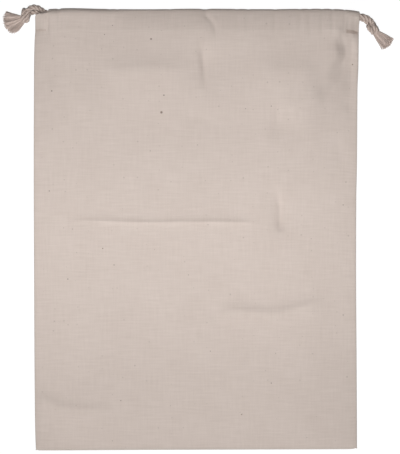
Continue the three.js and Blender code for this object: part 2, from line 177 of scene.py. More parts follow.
def plain_weave():
    """Group for a plain weave of uneven yarn: the height of its threads, and how pale each one is."""
    sockets, outputs = {"Place": "Vector", "Thread": "Float"}, {"Height": "Float", "Shade": "Float"}
    group, given, result = new_tree("ShaderNodeTree", "plain weave", sockets, outputs)
    wander = noise_at(group, given["Place"], scale=90.0, detail=1.0)["Color"]
    off_line = vectors(group, "MULTIPLY_ADD", wander, (STRAY,) * 3, given["Place"])
    counted = vectors(group, "DIVIDE", off_line, xyz(group, given["Thread"], given["Thread"], 1.0))
    number = parts_of(group, vectors(group, "FLOOR", counted))
    within = parts_of(group, vectors(group, "FRACTION", counted))
    metres = parts_of(group, given["Place"])
    over = maths(group, "FLOORED_MODULO", maths(group, "ADD", number[0], number[1]), 2.0)
    on_top = (over, maths(group, "SUBTRACT", 1.0, over))
    heights, shades = [], []
    for across, along, seed in ((0, 1, 0.0), (1, 0, 41.0)):
        scales = zip((number[across], metres[along]), YARN_STREAKS)
        yarn = streaks(group, *scales, seed, detail=2.0)
        scales = zip((metres[across], metres[along]), SLUB_STREAKS)
        slub = streaks(group, *scales, seed + 7.0, detail=1.0)
        rounded = maths(group, "SINE", maths(group, "MULTIPLY", within[across], math.pi))
        raised = maths(group, "MULTIPLY_ADD", yarn, YARN_RELIEF, rounded)
        heights.append(maths(group, "MULTIPLY", on_top[across], raised))
        shades.append(maths(group, "MULTIPLY_ADD", yarn, YARN_SHARE, slub))
    warp_shade = maths(group, "MULTIPLY", shades[0], 1 - WEFT_SHARE)
    group.links.new(maths(group, "ADD", *heights), result["Height"])
    group.links.new(maths(group, "MULTIPLY_ADD", shades[1], WEFT_SHARE, warp_shade), result["Shade"])
    return group


def husk_flecks():
    """Group for scattered specks: a cell of a grid may hold one, of any size up to the largest."""
    sockets = {"Place": "Vector", **dict.fromkeys(SPECKS[0], "Float")}
    group, given, result = new_tree("ShaderNodeTree", "husk flecks", sockets, {"Mask": "Float"})
    cells = node(group, "ShaderNodeTexVoronoi",
                 {"Vector": given["Place"], "Scale": maths(group, "DIVIDE", 1.0, given["Cell"])},
                 voronoi_dimensions="2D").outputs
    away = maths(group, "MULTIPLY", cells["Distance"], given["Cell"])
    chance = node(group, "ShaderNodeSeparateColor", {0: cells["Color"]}).outputs
    there = maths(group, "LESS_THAN", chance[0], given["Share"])
    size, force = (ramp(group, chance[i], 0.0, 1.0, start=SPECK_LEAST) for i in (1, 2))
    radius = maths(group, "MULTIPLY", given["Largest"], size)
    speck = ramp(group, maths(group, "DIVIDE", away, radius), 0.5, 1.0, start=1.0, end=0.0)
    strength = maths(group, "MULTIPLY", given["Strength"], force)
    mask = maths(group, "MULTIPLY", there, maths(group, "MULTIPLY", speck, strength))
    group.links.new(mask, result["Mask"])
    return group


def use_group(tree, group, inputs):
    """Outputs of a group placed in a material."""
    return node(tree, "ShaderNodeGroup", inputs, node_tree=group).outputs


def new_material(name, roughness, sheen):
    """New material, its node tree and its shader, with the finish that is the same all over."""
    material = bpy.data.materials.new(name)
    material.use_nodes = True
    shader = material.node_tree.nodes["Principled BSDF"]
    finish = {"Roughness": roughness, "Specular IOR Level": 0.25,
              "Sheen Weight": sheen, "Sheen Roughness": 0.6}
    for socket, value in finish.items():
        shader.inputs[socket].default_value = value
    return material, material.node_tree, shader


def dress(tree, shader, colour, height, strength, depth):
    """Give a material its colour, and a fine relief."""
    tree.links.new(colour, shader.inputs["Base Color"])
    relief = output(tree, "ShaderNodeBump", {"Height": height, "Strength": strength, "Distance": depth})
    tree.links.new(relief, shader.inputs["Normal"])


def calico_material():
    """Unbleached cotton cloth, woven along the panel's own measure."""
    material, tree, shader = new_material("calico", roughness=0.92, sheen=0.10)
    place = output(tree, "ShaderNodeUVMap", uv_map="cloth")
    weave = use_group(tree, plain_weave(), {"Place": place, "Thread": THREAD})
    clouds = noise_at(tree, place, scale=28.0, detail=3.0)[0]
    cloudy = ramp(tree, clouds, 0.3, 0.7, *CLOUD_SHARES)
    pale = maths(tree, "MULTIPLY_ADD", weave["Shade"], THREAD_CONTRAST, cloudy)
    colour = blend(tree, pale, CALICO, CALICO_PALE)
    # painted shade: darker colour along the seams and at the slits, where shade falls
    painted_shade = node(tree, "ShaderNodeAttribute", attribute_name="painted_seam_shade").outputs["Fac"]
    colour = blend(tree, maths(tree, "MULTIPLY", painted_shade, SEAM_SHADE_SHARE), colour, SEAM_SHADE)
    flecks = husk_flecks()
    scattered = [use_group(tree, flecks, {"Place": place, **sizes})[0] for sizes in SPECKS]
    mask = maths(tree, "MAXIMUM", *scattered)
    spot = node(tree, "ShaderNodeTexCoord").outputs["Object"]
    flat = vectors(tree, "MULTIPLY", spot, (1.0, 1.0, 0.0))
    for x, y, radius in FLECKS:
        away = node(tree, "ShaderNodeVectorMath", {0: flat, 1: (x, y, 0.0)}, operation="DISTANCE")
        inner, outer = (share * radius for share in FLECK_EDGE)
        fleck = ramp(tree, away.outputs["Value"], inner, outer, start=FLECK_STRENGTH, end=0.0)
        mask = maths(tree, "MAXIMUM", mask, fleck)
    dress(tree, shader, blend(tree, mask, colour, HUSK), weave["Height"], strength=0.5, depth=0.00012)
    return material


calico = calico_material()

# Back panel: a rectangle of calico that lies flat on the surface, face down, under the rest of the bag.
# Its sides and foot are turned in and sewn to the front, and its top is folded over a cord and hemmed.
HALF_WIDTH = 0.150
CASING_DEPTH = 0.019  # from the mouth fold down to the stitches
CORD_SET_BACK = 0.0046  # from the mouth fold to the middle of the cord
CASING_RADIUS = 0.00345  # outer face of the cloth round a cord
CASING_OVER = (0.04, 0.09, 0.15, 0.22, 0.3, 0.4, 0.5, 0.6, 0.7, 0.8, 0.9)  # rows from stitches to cord
CASING_TURNS = range(90, -91, -15)  # rows round the mouth fold, in degrees
HEM_ROWS = 8
HEM_DEPTH = 2.1  # from the face at the stitches to the hem's end, in thicknesses of the cloth
BACK_CORD_HEIGHT = 0.00345
BACK_INSET = 0.0004  # the back's edges lie this far inside the front's
TURN = 0.00055  # radius of an edge that is turned in, at its outer face
TURN_ANGLES = (180, 150, 120, 90, 60, 30)  # its rows, in degrees
ALLOWANCE = (3, 1)  # columns under which the turned-in edge still lies
SEAM_SHADE_REACH = 0.0008  # painted shade: the cloth is coloured darker this near to a seam, for the shade on its rolled edge
SLIT_SHADE_SHARES = (0.35, 0.75)  # share of that painted shade at the casings' left and right ends, for the shade of their gathered cloth
SLIT_SHADE_RUN = 0.018
SLIT_SHADE_EDGE = 0.002  # it fades out over this distance to either side of the casing's stitches
END_CROWDING = 0.25  # how much closer the columns stand at the side seams
EDGE_POWER = 6  # how quickly an edge's bends die out towards the middle
BACK_COLUMNS = 96
BACK_ROWS = ((0.030, 12), (0.375, 100), (0.391, 12))  # bands from the foot: end of each, and its rows
LEFT_EDGE = (  # y, x
    (-0.206, -0.1478), (-0.2035, -0.1493), (-0.170, -0.1502), (-0.120, -0.1506), (-0.030, -0.1510),
    (0.060, -0.1513), (0.150, -0.1510), (0.175, -0.1505), (0.185, -0.1499), (0.1975, -0.1498),
    (0.2000, -0.1482), (0.2012, -0.1425), (0.2024, -0.1385), (0.206, -0.1372),
)
RIGHT_EDGE = (  # y, x
    (-0.206, 0.1476), (-0.2025, 0.1490), (-0.130, 0.1487), (-0.030, 0.1482), (0.030, 0.1484),
    (0.060, 0.1490), (0.130, 0.1495), (0.150, 0.1503), (0.190, 0.1509), (0.195, 0.1514), (0.206, 0.1514),
)
TOP_EDGE = (  # x, y
    (-0.151, 0.2048), (-0.124, 0.2056), (-0.090, 0.2051), (-0.040, 0.2047), (0.010, 0.2051),
    (0.060, 0.2047), (0.122, 0.2050), (0.138, 0.2043), (0.145, 0.2036), (0.1514, 0.2024),
)
BOTTOM_EDGE = (  # x, y
    (-0.150, -0.2046), (-0.147, -0.2052), (-0.060, -0.2047), (0.060, -0.2043), (0.140, -0.2040),
    (0.146, -0.2038), (0.150, -0.2030),
)


def smooth_line(rows):
    """Function that reads the smooth line through rows of place and value, level at its peaks."""
    places, values = np.array(rows).T
    widths = np.diff(places)
    slopes = np.diff(values) / widths
    before, after = slopes[:-1], slopes[1:]
    one_way = before * after > 0
    mean = 2 * before * after / np.where(one_way, before + after, 1.0)
    eased = np.concatenate([slopes[:1], np.where(one_way, mean, 0.0), slopes[-1:]])

    def read(place):
        i = np.clip(np.searchsorted(places, place) - 1, 0, len(widths) - 1)
        t = np.clip((place - places[i]) / widths[i], 0, 1)
        level = values[i] * (1 + 2 * t) * (1 - t) ** 2 + values[i + 1] * t * t * (3 - 2 * t)
        return level + widths[i] * (eased[i] * t * (1 - t) ** 2 - eased[i + 1] * t * t * (1 - t))

    return read


left_edge, right_edge = smooth_line(LEFT_EDGE), smooth_line(RIGHT_EDGE)
top_edge, bottom_edge = smooth_line(TOP_EDGE), smooth_line(BOTTOM_EDGE)


def smoothstep(t):
    """Soft step from 0 to 1."""
    t = np.clip(t, 0, 1)
    return t * t * (3 - 2 * t)


def spaced(bands):
    """Shares of the way from 0 through bands, each given by its end and its number of rows."""
    marks = [0.0]
    for end, rows in bands:
        marks.extend(np.linspace(marks[-1], end, rows + 1)[1:])
    return np.array(marks) / marks[-1]


def across_row(columns, inset, y_at, height_at):
    """Points across one row of a panel, crowded towards its sides and led by the bag's edges."""
    even = np.linspace(0, 1, columns + 1)
    u = even + END_CROWDING * (0.5 - 0.5 * np.cos(math.pi * even) - even)
    straight = HALF_WIDTH * (2 * u - 1)
    y = y_at(straight)
    near_left = (left_edge(y) + HALF_WIDTH + inset) * (1 - u) ** EDGE_POWER
    near_right = (right_edge(y) - HALF_WIDTH - inset) * u**EDGE_POWER
    x = straight + near_left + near_right
    return np.stack([x, y, height_at(x, y)], axis=1)


def panel_rows(bands, columns, inside, height_at):
    """Rows of a panel from its bottom seam to its casing's stitches, so far inside the bag's edges."""
    inset = TURN + inside

    def row(share):
        def y_at(x):
            foot = bottom_edge(x) + inset
            return foot + share * (top_edge(x) - inside - CASING_DEPTH - foot)

        return across_row(columns, inset, y_at, height_at)

    return [row(share) for share in spaced(bands)]


def casing_rows(drop):
    """Rows of a casing from its stitches over the cord, round the mouth fold and back to the hem's end.
    Each is a distance back from the fold and a rise above the middle of the cord, at the outer face."""
    run = CASING_DEPTH - CORD_SET_BACK
    hem_end = CASING_RADIUS - drop - HEM_DEPTH * CLOTH
    rows = [(CASING_DEPTH - run * t, CASING_RADIUS - drop * (1 - smoothstep(t))) for t in CASING_OVER]
    for turn in np.radians(CASING_TURNS):
        rows.append((CORD_SET_BACK * (1 - math.cos(turn)), CASING_RADIUS * math.sin(turn)))
    for t in np.linspace(0, 1, HEM_ROWS + 1)[1:]:
        rows.append((CORD_SET_BACK + run * t, -CASING_RADIUS + (hem_end + CASING_RADIUS) * smoothstep(t)))
    return rows


def unit(arrows):
    """Vectors of length 1."""
    return arrows / np.linalg.norm(arrows, axis=-1, keepdims=True)


def grid_normals(grid, facing):
    """Outward normals of a grid of points."""
    return facing * unit(np.cross(np.gradient(grid, axis=1), np.gradient(grid, axis=0)))


def turn_in_seams(grid, facing, casing):
    """Grid with its left, right and bottom edges rolled in for their seams, as far as the casing's rows."""
    rows, columns = grid.shape[:2]
    angles = np.radians(TURN_ANGLES)
    under = [*ALLOWANCE, *(0 for _ in angles)]
    out = TURN * np.concatenate([np.zeros(len(ALLOWANCE)), np.sin(angles)])
    down = TURN * np.concatenate([np.full(len(ALLOWANCE), 2.0), 1 - np.cos(angles)])
    whole_row, whole_column = np.zeros(columns), np.zeros(rows)
    across = [*under, *range(columns), *(columns - 1 - k for k in under[::-1])]
    along = [*under, *range(rows)]
    normals = grid_normals(grid, facing)
    normals[: rows - casing] = (0, 0, facing)
    normals[..., 0] = 0
    turned = grid[np.ix_(along, across)]
    turned[..., 0] += np.concatenate([-out, whole_row, out[::-1]])
    turned[..., 1] -= np.concatenate([out, whole_column])[:, None]
    side_drop = np.concatenate([down, whole_row, down[::-1]])
    drop = np.maximum(np.concatenate([down, whole_column])[:, None], side_drop)
    return turned - drop[..., None] * unit(normals)[np.ix_(along, across)]


def measure_along(line):
    """Distance travelled along a line of points."""
    return np.concatenate([[0], np.cumsum(np.linalg.norm(np.diff(line, axis=0), axis=1))])


def from_sides(x, y):
    """Distances from the left and the right edge of the bag."""
    return x - left_edge(y), right_edge(y) - x


def mesh_piece(name, corners, faces, measure, places, material):
    """Smooth mesh object, with a UV map of its own measure at each corner of its faces."""
    mesh = bpy.data.meshes.new(name)
    mesh.from_pydata(corners, [], faces)
    mesh.uv_layers.new(name=measure).data.foreach_set("uv", np.ravel(places))
    mesh.materials.append(material)
    mesh.shade_smooth()
    return add_object(name, mesh)


def cloth_piece(name, grid, facing):
    """Cloth object from a grid of its outer face, with painted shade along its seams and at the ends of its
    casing.
    """
    rows, columns = grid.shape[:2]
    corner = np.arange(rows * columns).reshape(rows, columns)
    quads = np.stack([corner[:-1, :-1], corner[:-1, 1:], corner[1:, 1:], corner[1:, :-1]], axis=-1)
    quads = quads.reshape(-1, 4)[:, ::facing]
    measures = np.meshgrid(measure_along(grid[rows // 2]), measure_along(grid[:, columns // 2]))
    places = np.stack(measures, axis=-1).reshape(-1, 2)[quads.ravel()]
    cloth = mesh_piece(name, grid.reshape(-1, 3).tolist(), quads.tolist(), "cloth", places, calico)
    x, y = grid[..., 0], grid[..., 1]
    sides = from_sides(x, y)
    to_seam = np.minimum.reduce([*sides, y - bottom_edge(x)])
    # painted shade at the slits, over the ends of the casing where its gathered cloth lies in shade
    at_slits = sum(share * (1 - smoothstep(away / SLIT_SHADE_RUN)) for share, away in zip(SLIT_SHADE_SHARES, sides))
    in_casing = smoothstep((y - top_edge(x) + CASING_DEPTH + SLIT_SHADE_EDGE) / (2 * SLIT_SHADE_EDGE))
    # painted shade along the seams, joined by that at the slits
    painted_shade_mask = np.maximum(np.exp(-np.maximum(to_seam, 0) / SEAM_SHADE_REACH), in_casing * at_slits)
    cloth.data.attributes.new("painted_seam_shade", "FLOAT", "POINT").data.foreach_set("value", painted_shade_mask.ravel())
    thick = cloth.modifiers.new("thickness", "SOLIDIFY")
    thick.thickness = CLOTH
    thick.offset = -1
    thick.use_even_offset = False
    return cloth


def back_grid():
    """Outer face of the back panel: flat on the surface, with its casing standing on it."""
    rows = panel_rows(BACK_ROWS, BACK_COLUMNS, BACK_INSET, lambda x, y: np.zeros_like(x))
    section = casing_rows(0.0)
    for back, rise in section:
        rows.append(across_row(
            BACK_COLUMNS,
            TURN + BACK_INSET,
            lambda x: top_edge(x) - BACK_INSET - back,
            lambda x, y: np.full_like(x, BACK_CORD_HEIGHT - rise),
        ))
    grid = np.stack(rows)
    return turn_in_seams(grid, -1, len(section)), grid[-len(section) - 1]


back_face, back_stitch_row = back_grid()
back_cloth = cloth_piece("back_cloth", back_face, -1)
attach(back_cloth, "root")
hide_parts("back_panel")

# Front panel: the same cut of calico, lying in a low pillow over the back with the creases of its folding.
# It is sewn to the back at the sides and foot, and its casing rises over the second cord at the mouth.
MOUTH_GAPE = 0.0056  # how much further the middle of the mouth stands open
FRONT_CORD_HEIGHT = 0.01065
STITCH_DROP = 0.0012  # the stitches pull the casing's face down by this
SEAM_FACE = 0.0023  # outer face of the front at its seams
CROWN = 0.0077  # rise of the pillow from its seams
SIDE_RUN = (0.055, 0.080)  # over which it gains that rise, from the left and from the right
BOTTOM_RUN = 0.062  # and from the foot
SLIT_RUN = 0.030  # over which the front rises to its casing at the side slits
MOUTH_RUN = 0.095  # and at the middle of the mouth
RISE_POWER = 1.4  # how hollow that slope is
SLIT_FACE = 0.0028  # outer face at the foot of a slit, where the casing is tacked down
SLIT_PULL = 0.024  # distance from a slit over which the casing's stitches come down to the tack
PULL_POWER = 1.3  # how quickly that pull dies out across the casing
FRONT_COLUMNS = 196
FRONT_ROWS = ((0.030, 12), (0.203, 70), (0.223, 30), (0.372, 62), (0.391, 14))
FOLDS = (  # rise, run to the left and right of the line, rounding, share that fades at each end, and line
    (0.0014, (0.0028, 0.0032), 0.0004, (0.25, 0.1),  # crease across the middle
     ((-0.127, 0.0090), (-0.080, 0.0078), (-0.043, 0.0066), (-0.006, 0.0073), (0.031, 0.0070),
      (0.057, 0.0066))),
    (-0.0034, (0.0350, 0.0060), 0.0003, (0.25, 0.45),  # drag from the right slit, and the ridge beside it
     ((0.1358, 0.1835), (0.1366, 0.1740), (0.1378, 0.1668), (0.1376, 0.1600), (0.1353, 0.1554),
      (0.1318, 0.1512), (0.1278, 0.1475), (0.1224, 0.1435), (0.1165, 0.1400))),
    (0.0010, (0.0040, 0.0060), 0.0004, (0.3, 0.4),
     ((0.1296, 0.1745), (0.1302, 0.1665), (0.1296, 0.1590), (0.1266, 0.1554), (0.1236, 0.1517),
      (0.1200, 0.1480), (0.1146, 0.1443))),
    (-0.0007, (0.0018, 0.0030), 0.0004, (0.25, 0.35),  # its feeder from the casing
     ((0.1312, 0.1795), (0.1317, 0.1760), (0.1326, 0.1705), (0.1340, 0.1650))),
    (0.0016, (0.0180, 0.0110), 0.0020, (0.3, 0.4),  # its tail, a ridge and then a step
     ((0.1239, 0.1331), (0.1128, 0.1238), (0.0961, 0.1173), (0.0831, 0.1108), (0.0730, 0.1010))),
    (-0.0017, (0.0120, 0.0050), 0.0008, (0.6, 0.4),
     ((0.0760, 0.1250), (0.0752, 0.1130), (0.0747, 0.1040), (0.0740, 0.0960), (0.0712, 0.0860),
      (0.0690, 0.0800))),
    (-0.0032, (0.0045, 0.0055), 0.0004, (0.5, 0.3),  # dent right of the middle
     ((0.0748, 0.0440), (0.0750, 0.0310), (0.0772, 0.0216), (0.0777, 0.0124), (0.0777, 0.0031),
      (0.0778, -0.0060))),
    (0.0018, (0.0035, 0.0150), 0.0015, (0.25, 0.2),  # waves at the lower right and left
     ((0.013, -0.0757), (0.040, -0.0752), (0.073, -0.0772), (0.096, -0.0717), (0.122, -0.0647))),
    (0.0016, (0.0035, 0.0150), 0.0010, (0.02, 0.4),
     ((-0.150, -0.1555), (-0.140, -0.1575), (-0.128, -0.1640), (-0.108, -0.1665), (-0.085, -0.1660),
      (-0.064, -0.1665))),
    (0.0030, (0.0080, 0.0180), 0.0060, (0.3, 0.3),  # swells under the casing
     ((-0.098, 0.146), (-0.050, 0.148), (0.002, 0.148))),
    (0.0020, (0.0080, 0.0400), 0.0060, (0.3, 0.3),
     ((0.048, 0.148), (0.085, 0.147), (0.118, 0.150))),
    (-0.0038, (0.0200, 0.0026), 0.0003, (0.35, 0.65),  # fold down the middle, in two stretches
     ((0.0044, 0.1760), (0.0050, 0.1660), (0.0055, 0.1570), (0.0064, 0.1480), (0.0068, 0.1400),
      (0.0072, 0.1220))),
    (0.0003, (0.0030, 0.0150), 0.0008, (0.3, 0.3),
     ((-0.0006, -0.0936), (-0.0002, -0.112), (-0.0006, -0.131))),
    (-0.0006, (0.0050, 0.0050), 0.0020, (0.3, 0.3),  # small hollows
     ((-0.0154, 0.0988), (-0.0061, 0.1034), (0.0032, 0.1043), (0.0106, 0.1015), (0.0171, 0.0922))),
    (-0.0006, (0.0060, 0.0060), 0.0020, (0.4, 0.4),
     ((0.1286, 0.0923), (0.1332, 0.0737), (0.1379, 0.0504))),
    (-0.0007, (0.0040, 0.0040), 0.0015, (0.5, 0.5), ((0.1416, 0.124), (0.1425, 0.109))),
    (0.0006, (0.0030, 0.0040), 0.0006, (0.4, 0.4),
     ((0.0032, -0.0889), (0.0106, -0.0861), (0.0171, -0.0824))),
    (0.0004, (0.0035, 0.0060), 0.0008, (0.4, 0.4),
     ((0.045, -0.1409), (0.0635, -0.140), (0.0821, -0.1372))),
    (0.0008, (0.0080, 0.0150), 0.0040, (0.2, 0.4),
     ((-0.1455, 0.1313), (-0.113, 0.1266), (-0.0805, 0.1155))),
)
CASING_FOLDS = (  # creases that run on over the casing, in the same columns
    (-0.0014, (0.0022, 0.0022), 0.0004, (0.05, 0.3),
     ((0.0074, 0.2066), (0.0085, 0.199), (0.0140, 0.1935), (0.0171, 0.186), (0.0160, 0.178))),
    (-0.0006, (0.0018, 0.0022), 0.0003, (0.25, 0.35),  # gathers at the right slit
     ((0.1352, 0.1935), (0.1353, 0.184), (0.1353, 0.176), (0.1360, 0.167))),
    (-0.0008, (0.0018, 0.0030), 0.0003, (0.2, 0.4),
     ((0.1412, 0.201), (0.1410, 0.190), (0.1408, 0.180), (0.1402, 0.174))),
    (-0.0006, (0.0018, 0.0028), 0.0003, (0.2, 0.3), ((0.1464, 0.201), (0.1466, 0.190), (0.1468, 0.181))),
    (0.0004, (0.0120, 0.0015), 0.0004, (0.1, 0.5),
     ((-0.150, 0.1862), (-0.120, 0.1868), (-0.075, 0.1863))),
)
PUCKERS = (  # gathers across the casing: x, depth and half width
    (-0.1390, 0.0014, 0.0013), (-0.1278, 0.0008, 0.0013), (-0.0805, 0.0003, 0.0022),
    (-0.0735, 0.0003, 0.0018), (-0.0247, 0.0003, 0.0020), (0.0375, 0.0003, 0.0020),
    (0.0478, 0.00035, 0.0018), (0.0728, 0.0003, 0.0020), (0.0960, 0.0003, 0.0016),
    (0.1050, 0.0004, 0.0018), (0.1165, 0.0004, 0.0016), (0.1260, 0.0005, 0.0016),
    (0.1375, 0.0004, 0.0010),
)
TIGHT_END = (-0.060, 0.030)  # left of this place, over a run, the front casing is drawn tight on its cord
TIGHT_RISE = 1.3  # how much higher it stands there
SLACK = ((0.0016, 0.0005), (0.0024, 0.0055))  # elsewhere: its face's rises from the fold, and their runs
FOLD_STEP = 0.001  # between the points of a fold's line
FOLD_REACH = 5  # runs beyond which a fold isn't felt
FOLD_FADE = 0.008  # folds die out over this distance from a seam or from the casing's stitches
PUCKER_REACH = 0.012  # distance below the stitches at which the gathers begin
PUCKER_RUN = 0.016  # over which they reach their depth
WAVES = ((0.060, 0.00030), (0.020, 0.00013))  # unevenness of the cloth: size and height
WAVE_SEED = 7.3
GROOVE = (0.00008, 0.0012)  # depth and half width of the dip that the casing's stitches pull
CURVE_STEPS = 24  # between two points of a line, before its points are set a step apart


def curve_through(points, step):
    """Points a step apart along the smooth curve through a list of points."""
    points = np.array(points, float)
    before, after = 2 * points[0] - points[1], 2 * points[-1] - points[-2]
    padded = np.concatenate([[before], points, [after]])
    t = np.linspace(0, 1, CURVE_STEPS, endpoint=False)[:, None]
    stretches = []
    for p0, p1, p2, p3 in zip(padded, padded[1:], padded[2:], padded[3:]):
        d0, d1, d2 = (math.sqrt(np.linalg.norm(b - a)) for a, b in ((p0, p1), (p1, p2), (p2, p3)))
        out = d1 * ((p1 - p0) / d0 - (p2 - p0) / (d0 + d1) + (p2 - p1) / d1)
        into = d1 * ((p2 - p1) / d1 - (p3 - p1) / (d1 + d2) + (p3 - p2) / d2)
        cubic = (3 * (p2 - p1) - 2 * out - into) * t**2 + (2 * (p1 - p2) + out + into) * t**3
        stretches.append(p1 + out * t + cubic)
    fine = np.concatenate([*stretches, points[-1:]])
    travelled = measure_along(fine)
    even = np.linspace(0, travelled[-1], max(2, round(travelled[-1] / step) + 1))
    return np.stack([np.interp(even, travelled, column) for column in fine.T], axis=1)


def fold_rise(folds, x, y):
    """Height that ridges and troughs add, each along its line, with its own run to either side."""
    total = np.zeros_like(x)
    for rise, (left_run, right_run), rounding, (fade_in, fade_out), line in folds:
        points = curve_through(line, FOLD_STEP)
        ahead = np.gradient(points, axis=0)
        reach = FOLD_REACH * max(left_run, right_run)
        low, high = points.min(0) - reach, points.max(0) + reach
        near = (x > low[0]) & (x < high[0]) & (y > low[1]) & (y < high[1])
        dx, dy = x[near][:, None] - points[:, 0], y[near][:, None] - points[:, 1]
        nearest = np.hypot(dx, dy).argmin(1)
        rows = np.arange(len(nearest))
        dx, dy, ahead = dx[rows, nearest], dy[rows, nearest], ahead[nearest]
        run = np.where(ahead[:, 0] * dy > ahead[:, 1] * dx, left_run, right_run)
        place = nearest / (len(points) - 1)
        ends = smoothstep(place / fade_in) * smoothstep((1 - place) / fade_out)
        away = np.sqrt(dx**2 + dy**2 + rounding**2) - rounding
        total[near] += rise * ends * np.exp(-away / run)
    return total


def swell(t):
    """Rise of a soft pillow from its seam: steepest at the seam, level once its run is covered."""
    return 1 - (1 - np.clip(t, 0, 1)) ** 2


def front_cord_height(x):
    """Middle of the front cord."""
    return FRONT_CORD_HEIGHT + MOUTH_GAPE * np.maximum(0, 1 - (x / HALF_WIDTH) ** 2)


def casing_face(x, back, rise):
    """Rise of the front casing's face above its cord: slack along the mouth, and tight at the left end."""
    slack = sum(part * (1 - math.exp(-back / run)) for part, run in SLACK)
    tight = smoothstep((TIGHT_END[0] - x) / TIGHT_END[1])
    return slack + tight * (TIGHT_RISE * rise - slack)


def stitch_face(x):
    """Outer face of the front casing at its stitches, away from the slits."""
    return front_cord_height(x) + casing_face(x, CASING_DEPTH, CASING_RADIUS - STITCH_DROP)


def slit_drop(x, y):
    """How far the tack at the foot of a slit pulls the casing's stitches down."""
    to_side = np.minimum(*from_sides(x, y))
    return (stitch_face(x) - SLIT_FACE) * (1 - swell(to_side / SLIT_PULL))


def front_height(x, y):
    """Outer face of the front panel from the bottom seam to the stitches of its casing."""
    stitches = top_edge(x) - CASING_DEPTH
    from_left, from_right = from_sides(x, y)
    from_foot = y - bottom_edge(x)
    to_side = np.minimum(from_left, from_right)
    sides = swell(from_left / SIDE_RUN[0]) * swell(from_right / SIDE_RUN[1])
    resting = SEAM_FACE + CROWN * sides * swell(from_foot / BOTTOM_RUN)
    run = SLIT_RUN + smoothstep(to_side / SIDE_RUN[0]) * (MOUTH_RUN - SLIT_RUN)
    share = np.clip((y - stitches + run) / run, 0, 1)
    casing = stitch_face(x) - slit_drop(x, y)
    held = np.minimum.reduce([to_side, from_foot, stitches - y])
    rising = resting + share**RISE_POWER * (casing - resting)
    return rising + fold_rise(FOLDS, x, y) * smoothstep(held / FOLD_FADE)


def casing_height(x, y, back, rise, folded):
    """Outer face of the front casing along one of its rows, which may lie beyond the mouth fold."""
    pulled = max(0.0, (back - CORD_SET_BACK) / (CASING_DEPTH - CORD_SET_BACK)) ** PULL_POWER
    if not folded:
        return front_cord_height(x) + casing_face(x, back, rise) - pulled * slit_drop(x, y)
    lift = stitch_face(x) - front_cord_height(x) - CASING_RADIUS + STITCH_DROP
    return front_cord_height(x) + rise + pulled * (lift - slit_drop(x, y))


def uneven(x, y):
    """Small waves of cloth that has been folded and smoothed out by hand."""
    flat = np.zeros(x.size)
    for size, height in WAVES:
        spots = zip(x.ravel() / size, y.ravel() / size)
        flat += height * np.array([noise.noise(Vector((a, b, WAVE_SEED))) for a, b in spots])
    return flat.reshape(x.shape)


def bell(away, half_width):
    """Soft bump that is 1 at its middle."""
    return np.exp(-((away / half_width) ** 2))


def front_grid():
    """Outer face of the front panel, with the row that its casing's stitches follow."""
    rows = panel_rows(FRONT_ROWS, FRONT_COLUMNS, 0.0, front_height)
    stitch_row = len(rows) - 1
    follows = [1.0] * len(rows)  # share of the creases that a row follows, negative where it faces down
    section = casing_rows(STITCH_DROP)
    folded = False
    for back, rise in section:
        folded = folded or rise < 0
        rows.append(across_row(
            FRONT_COLUMNS,
            TURN,
            lambda x: top_edge(x) - back,
            lambda x, y: casing_height(x, y, back, rise, folded),
        ))
        facing = -1 if folded and back > CORD_SET_BACK else 1
        follows.append(facing * smoothstep(1 + rise / CASING_RADIUS))
    grid = np.stack(rows)
    x, y = grid[..., 0], grid[..., 1]
    from_stitches = y - (top_edge(x) - CASING_DEPTH)
    in_casing = np.arange(len(rows))[:, None] > stitch_row
    to_side = np.where(in_casing, 1.0, np.minimum(*from_sides(x, y)))
    to_seam = np.minimum(to_side, y - bottom_edge(x))
    shift = fold_rise(CASING_FOLDS, x, y) + uneven(x, y) * smoothstep(to_seam / FOLD_FADE)
    fade = smoothstep((from_stitches + PUCKER_REACH) / PUCKER_RUN)
    for middle, depth, half_width in PUCKERS:
        shift -= depth * fade * bell(x - middle, half_width)
    shift -= GROOVE[0] * bell(from_stitches, GROOVE[1])
    shift *= np.array(follows)[:, None]
    grid = grid + shift[..., None] * grid_normals(grid, 1)
    return turn_in_seams(grid, 1, len(section)), grid[stitch_row]


front_face, front_stitch_row = front_grid()
front_cloth = cloth_piece("front_cloth", front_face, 1)
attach(front_cloth, "root")
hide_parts("front_panel")

# Stitches: lock stitches in cotton thread that close both casings, a run from slit to slit on each panel.
# Each sits in the dip that its own pull makes in the cloth.
STITCH_PITCH = 0.0030
STITCH_HALF = 0.00115
STITCH_STEP = 0.001  # between the points of a run's line
STITCH_ENDS = 2  # columns left free at each end of a run
FRONT_SINK = -0.3  # height of a run above the outer face, in radii of its thread
BACK_SINK = 1.3
SEWING_THREAD = 0.00022  # radius
THREAD_COLOUR = (0.640, 0.565, 0.510)
THREAD_DARK = (0.520, 0.445, 0.395)


def thread_material(name, dark, pale):
    """Sewing thread, mottled between two colours."""
    material, tree, shader = new_material(name, roughness=0.75, sheen=0.15)
    spot = node(tree, "ShaderNodeTexCoord").outputs["Object"]
    grain = noise_at(tree, spot, scale=2400.0, detail=2.0)[0]
    dress(tree, shader, blend(tree, grain, dark, pale), grain, strength=0.5, depth=0.0001)
    return material


def finish_tree(tree, geometry, material, result):
    """Make what a tree has grown real and smooth, give it its material and put it out."""
    real = output(tree, "GeometryNodeRealizeInstances", {0: geometry})
    smooth = output(tree, "GeometryNodeSetShadeSmooth", {0: real})
    dressed = output(tree, "GeometryNodeSetMaterial", {"Geometry": smooth, "Material": material})
    tree.links.new(dressed, result["Geometry"])


